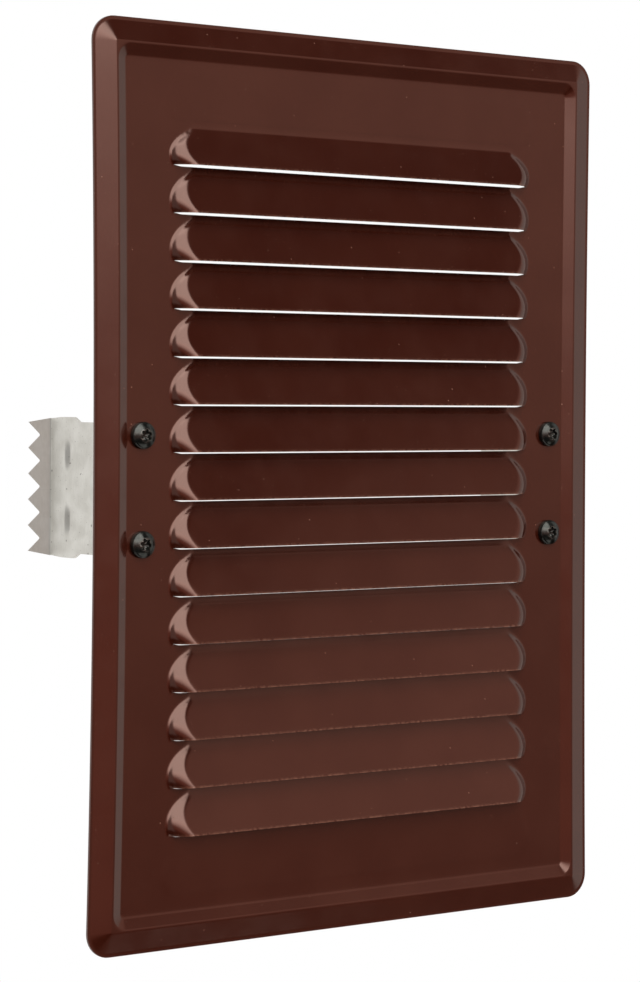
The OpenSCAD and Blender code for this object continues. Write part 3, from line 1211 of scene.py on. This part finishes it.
@dataclass
class PanHeadScrew:
    """A thread-forming screw with a domed pan head and a six-lobe recess."""

    corner: Corner
    x: float = 69.4 * MM
    seat: float = -0.9 * MM
    head_d: float = 7.0 * MM
    head_h: float = 2.6 * MM
    dome_r: float = 5.0 * MM
    lobe_d: float = 3.35 * MM
    lobe_root_d: float = 2.4 * MM
    lobe_r: float = 0.42 * MM
    drive_depth: float = 1.5 * MM
    core_d: float = 2.5 * MM
    thread_d: float = 3.4 * MM
    pitch: float = 1.3 * MM
    length: float = 9.5 * MM
    point: float = 2.8 * MM
    AROUND = 96

    def recess_radius(self, angle: float) -> float:
        """Distance from the axis to the recess's wall, at an angle."""
        lobe = (angle + math.pi / 6) % (math.pi / 3) - math.pi / 6
        reach = self.lobe_d / 2 - self.lobe_r
        across = self.lobe_r**2 - (reach * math.sin(lobe)) ** 2
        radius = self.lobe_root_d / 2
        if across > 0.0:
            radius = max(radius, reach * math.cos(lobe) + math.sqrt(across))
        return radius

    def dome(self, r: float) -> float:
        """Height of the domed top at a distance from the axis."""
        return self.head_h - self.dome_r + math.sqrt(self.dome_r**2 - r * r)

    def rings(self) -> list[list[tuple[float, float]]]:
        """Follows the screw's section from the recess's middle over the head and down to the point.

        Returns:
            One ring for each step: (radius, height above the seat) at each angle.
        """
        n = self.AROUND
        edge = self.head_d / 2
        core = self.core_d / 2
        star = [self.recess_radius(2 * math.pi * i / n) for i in range(n)]
        floor = self.head_h - self.drive_depth
        rings = [[(0.35 * s, floor - 0.16 * MM) for s in star], [(0.8 * s, floor) for s in star]]
        rings.append([(s - 0.07 * MM, floor + 0.12 * MM) for s in star])
        rings.append([(s - 0.02 * MM, self.dome(s) - 0.16 * MM) for s in star])
        rings.append([(s + 0.03 * MM, self.dome(s) - 0.04 * MM) for s in star])
        rings.append([(s + 0.12 * MM, self.dome(s + 0.12 * MM)) for s in star])
        inner = self.lobe_d / 2 + 0.3 * MM
        shoulder = edge - 0.42 * MM
        for k in range(6):
            r = inner + (shoulder - inner) * k / 5
            rings.append([(r, self.dome(r))] * n)
        low = self.dome(edge) - 0.3 * MM
        top = self.dome(shoulder)
        for k in range(1, 5):
            a = k / 5 * math.pi / 2
            rings.append([(shoulder + 0.42 * MM * math.sin(a), low + (top - low) * math.cos(a) ** 0.9)] * n)
        rings += [[(edge, low)] * n, [(edge, 0.12 * MM)] * n, [(edge - 0.12 * MM, 0.0)] * n]
        rings += [[(core + 0.25 * MM, 0.0)] * n, [(core, -0.3 * MM)] * n]
        rings += [[(core, self.point - self.length)] * n]
        rings += [[(core * 0.55, 0.45 * self.point - self.length)] * n, [(0.28 * MM, 0.1 * MM - self.length)] * n]
        rings += [[(0.12 * MM, -self.length)] * n]
        return rings

    def thread(self) -> bpy.types.NodeTree:
        """Builds the tree that winds the thread round the shank.

        Returns:
            The tree, whose result is the incoming mesh with the thread added.
        """
        g = shape_group("screw_thread")
        base = g.takes("Geometry", kind="NodeSocketGeometry")
        pitch = g.size("Pitch", self.pitch)
        major = g.size("Thread Radius", self.thread_d / 2)
        core = g.size("Core Radius", self.core_d / 2)
        start = g.size("Start", -0.45 * MM)
        end = g.size("End", 0.25 * MM - self.length)
        taper = g.size("Point Length", self.point)
        finish = g.takes("Finish", kind="NodeSocketMaterial")
        steps = 200
        line = g.node("GeometryNodeCurvePrimitiveLine", {"End": (0.0, 0.0, 1.0)})
        fine = g.node("GeometryNodeResampleCurve", {"Curve": line.outputs[0], "Count": steps})
        f = g.num(g.node("GeometryNodeSplineParameter"), "Factor")
        z = start + (end - start) * f
        angle = (z / pitch) * (2 * math.pi)
        full = (z - end).share(0.0, taper)
        root = core * (0.12 + 0.88 * full)
        radius = root - 0.05 * MM
        spot = g.vector(radius * Num.calc("COSINE", angle), radius * Num.calc("SINE", angle), z)
        wound = g.node("GeometryNodeSetPosition", {"Geometry": fine.outputs[0], "Position": spot})
        tall = g.node(
            "GeometryNodeSetCurveRadius",
            {"Curve": wound.outputs[0], "Radius": (major - core) * (0.25 + 0.75 * full) / (0.5 * MM)},
        )
        upright = g.node("GeometryNodeSetCurveNormal", {"Curve": tall.outputs[0]})
        ridge = g.node(
            "GeometryNodeCurvePrimitiveCircle",
            {"Resolution": 4, "Radius": 0.5 * MM},
        )
        swept = g.node(
            "GeometryNodeCurveToMesh",
            {"Curve": upright.outputs[0], "Profile Curve": ridge.outputs[0], "Fill Caps": True},
        )
        joined = g.node("GeometryNodeJoinGeometry")
        g.tree.links.new(base, joined.inputs[0])
        g.tree.links.new(swept.outputs[0], joined.inputs[0])
        real = g.node("GeometryNodeRealizeInstances", {"Geometry": joined.outputs[0]})
        dressed = g.node("GeometryNodeSetMaterial", {"Geometry": real.outputs[0], "Material": finish})
        g.gives("Geometry", dressed.outputs[0], "NodeSocketGeometry")
        return g.tree

    def build(self, finish: bpy.types.Material, thread: bpy.types.NodeTree) -> bpy.types.Object:
        """Makes the screw.

        Args:
            finish: its plating.
            thread: the tree that adds its thread.

        Returns:
            The piece, which stands for the CAD screw.
        """
        bm = bmesh.new()
        rim = bm.verts.layers.float.new("rim")
        n = self.AROUND
        made = []
        for index, ring in enumerate(self.rings()):
            row = []
            for i, (r, z) in enumerate(ring):
                a = 2 * math.pi * i / n
                v = bm.verts.new((r * math.cos(a), r * math.sin(a), z))
                # rings 3 to 5 form the recess's rim, where the plating paints its highlight
                v[rim] = 1.0 if 3 <= index <= 5 else 0.0
                row.append(v)
            made.append(row)
        for a, b in zip(made, made[1:]):
            for i in range(n):
                j = (i + 1) % n
                bm.faces.new((a[i], b[i], b[j], a[j]))
        bm.faces.new(list(reversed(made[-1])))
        bm.faces.new(made[0])
        bmesh.ops.recalc_face_normals(bm, faces=bm.faces)
        base = bpy.data.meshes.new("screw_blank")
        bm.to_mesh(base)
        bm.free()
        base.materials.append(finish)
        mesh = run_tree("screw_blank", thread, {"Finish": finish}, base)
        sx, z, spin = self.corner.value
        turn = Matrix.Rotation(math.pi / 2, 4, "X") @ Matrix.Rotation(math.radians(spin), 4, "Z")
        mesh.transform(Matrix.Translation((sx * self.x, self.seat, z)) @ turn)
        mesh.polygons.foreach_set("use_smooth", [True] * len(mesh.polygons))
        mesh.set_sharp_from_angle(angle=math.radians(38))
        name = f"screw_{self.corner.name.lower()}"
        mesh.name = "pan_head_" + name
        piece = bpy.data.objects.new("pan_head_" + name, mesh)
        bpy.context.scene.collection.objects.link(piece)
        join_the_part(piece, name)
        return piece


# ---------------------------------------------------------------- studio


@dataclass(frozen=True)
class SoftPanel:
    """A soft light panel, given by the directions it fills as seen from the part.

    Azimuth is 0 straight in front of the plate and positive towards the left; both angles are in degrees.
    """

    azimuth: Point2
    elevation: Point2
    colour: tuple[float, float, float]
    level: float
    side_blur: float
    low_blur: float
    high_blur: float


@dataclass(frozen=True)
class Studio:
    """The light round the part, the pale floor under it and the camera of the photograph."""

    panels: tuple[SoftPanel, ...] = (
        SoftPanel((-21, 46), (9, 62), (1.0, 0.97, 0.95), 3.6, 8, 26, 10),
        SoftPanel((-21, 46), (-14, 20), (1.0, 0.48, 0.40), 0.5, 8, 14, 12),
        SoftPanel((-37, 46), (56, 84), (1.0, 0.97, 0.95), 1.6, 10, 10, 10),
        SoftPanel((-62, -21), (-5, 25.5), (1.0, 0.72, 0.63), 0.42, 6, 28, 7),
        SoftPanel((-62, -21), (-42, 25.5), (1.0, 0.60, 0.50), 0.15, 6, 10, 7),
        SoftPanel((-96, -62), (-25, 45), (0.97, 1.0, 0.97), 0.6, 5, 12, 8),
        SoftPanel((46, 100), (-25, 60), (1.0, 1.0, 1.0), 0.4, 8, 12, 8),
    )
    fill: float = 0.06
    floor_z: float = -0.6
    floor_half: float = 0.5
    camera_at: tuple[float, float, float] = (-0.48347, -0.62358, 0.02283)
    camera_yaw: float = 37.123
    camera_roll: float = 0.342
    focal_px: float = 2910.2
    horizon_px: float = 398.15

    def light(self) -> None:
        """Sets up the world as a surround of soft panels, white behind the part and for the camera."""
        world = bpy.data.worlds.new("soft_studio")
        bpy.context.scene.world = world
        world.use_nodes = True
        tree = world.node_tree
        tree.nodes.clear()
        coord = tree.nodes.new("ShaderNodeTexCoord")
        split = tree.nodes.new("ShaderNodeSeparateXYZ")
        tree.links.new(coord.outputs["Generated"], split.inputs[0])
        x, y, z = (Num(tree, split.outputs[k]) for k in "XYZ")
        degrees = 180.0 / math.pi
        azimuth = Num.calc("ARCTAN2", 0.0 - x, 0.0 - y) * degrees
        elevation = Num.calc("ARCSINE", z) * degrees
        behind = abs(azimuth).ease(95.0, 125.0)
        total = [behind + (1.0 - behind) * elevation.ease(-30.0, 60.0) * self.fill] * 3
        for p in self.panels:
            half = p.side_blur / 2
            mask = (
                azimuth.ease(p.azimuth[0] - half, p.azimuth[0] + half)
                * (1.0 - azimuth.ease(p.azimuth[1] - half, p.azimuth[1] + half))
                * elevation.ease(p.elevation[0] - p.low_blur / 2, p.elevation[0] + p.low_blur / 2)
                * (1.0 - elevation.ease(p.elevation[1] - p.high_blur / 2, p.elevation[1] + p.high_blur / 2))
            )
            total = [t + mask * (c * p.level) for t, c in zip(total, p.colour)]
        mix = tree.nodes.new("ShaderNodeCombineColor")
        for slot, value in zip(mix.inputs, total):
            tree.links.new(value.socket, slot)
        surround = tree.nodes.new("ShaderNodeBackground")
        tree.links.new(mix.outputs[0], surround.inputs["Color"])
        white = tree.nodes.new("ShaderNodeBackground")
        white.inputs["Color"].default_value = (1.0, 1.0, 1.0, 1.0)
        path = tree.nodes.new("ShaderNodeLightPath")
        choose = tree.nodes.new("ShaderNodeMixShader")
        tree.links.new(path.outputs["Is Camera Ray"], choose.inputs[0])
        tree.links.new(surround.outputs[0], choose.inputs[1])
        tree.links.new(white.outputs[0], choose.inputs[2])
        out = tree.nodes.new("ShaderNodeOutputWorld")
        tree.links.new(choose.outputs[0], out.inputs[0])

    def floor(self, effects: Effects) -> bpy.types.Object:
        """Makes the pale floor, well below the part.

        Args:
            effects: the shared groups.

        Returns:
            The floor, which isn't part of the object.
        """
        bm = bmesh.new()
        bmesh.ops.create_grid(
            bm, x_segments=4, y_segments=4, size=self.floor_half, matrix=Matrix.Translation((0.0, 0.0, self.floor_z))
        )
        mesh = bpy.data.meshes.new("pale_floor")
        bm.to_mesh(mesh)
        bm.free()
        floor = bpy.data.objects.new("pale_floor", mesh)
        bpy.context.scene.collection.objects.link(floor)
        f = Finish("pale_floor")
        cloud = f.group(effects.mottle, Spacing=0.3, Detail=2.0)
        f.feed("Base Color", f.blend(cloud, (0.82, 0.82, 0.81), (0.86, 0.86, 0.85)))
        f.fix(Roughness=0.85)
        mesh.materials.append(f.material)
        return floor

    def camera(self) -> bpy.types.Object:
        """Sets the camera where the photograph was taken from."""
        data = bpy.data.cameras.new("photo_camera")
        camera = bpy.data.objects.new("photo_camera", data)
        bpy.context.scene.collection.objects.link(camera)
        yaw, roll = math.radians(self.camera_yaw), math.radians(self.camera_roll)
        ahead = Vector((math.sin(yaw), math.cos(yaw), 0.0))
        level = Vector((math.cos(yaw), -math.sin(yaw), 0.0))
        up = Vector((0.0, 0.0, 1.0))
        right = level * math.cos(roll) + up * math.sin(roll)
        top = up * math.cos(roll) - level * math.sin(roll)
        turn = Matrix((right, top, -ahead)).transposed().to_4x4()
        camera.matrix_world = Matrix.Translation(self.camera_at) @ turn
        data.sensor_width = 36.0
        data.lens = 36.0 * self.focal_px / IMAGE_H
        data.shift_y = (self.horizon_px - IMAGE_H / 2) / IMAGE_H
        data.clip_start, data.clip_end = 0.05, 20.0
        bpy.context.scene.camera = camera
        return camera


def main() -> None:
    """Builds the grille, the studio and the camera, and notes the sizes."""
    logging.basicConfig(level=logging.INFO, format="%(message)s")
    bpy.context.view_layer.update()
    effects = Effects()
    enamel = ChocolateEnamel().build(effects)
    zinc = GalvanisedSheet().build(effects)
    plating = BlackPlating().build(effects)
    CoverPlate().build(enamel)
    for side in Side:
        SpringClip(side).build(zinc)
    thread = PanHeadScrew(Corner.UPPER_LEFT).thread()
    for corner in Corner:
        PanHeadScrew(corner).build(plating, thread)
    studio = Studio()
    studio.light()
    studio.floor(effects)
    studio.camera()
    bpy.context.scene.view_settings.view_transform = "Standard"


if __name__ == "__main__":
    main()
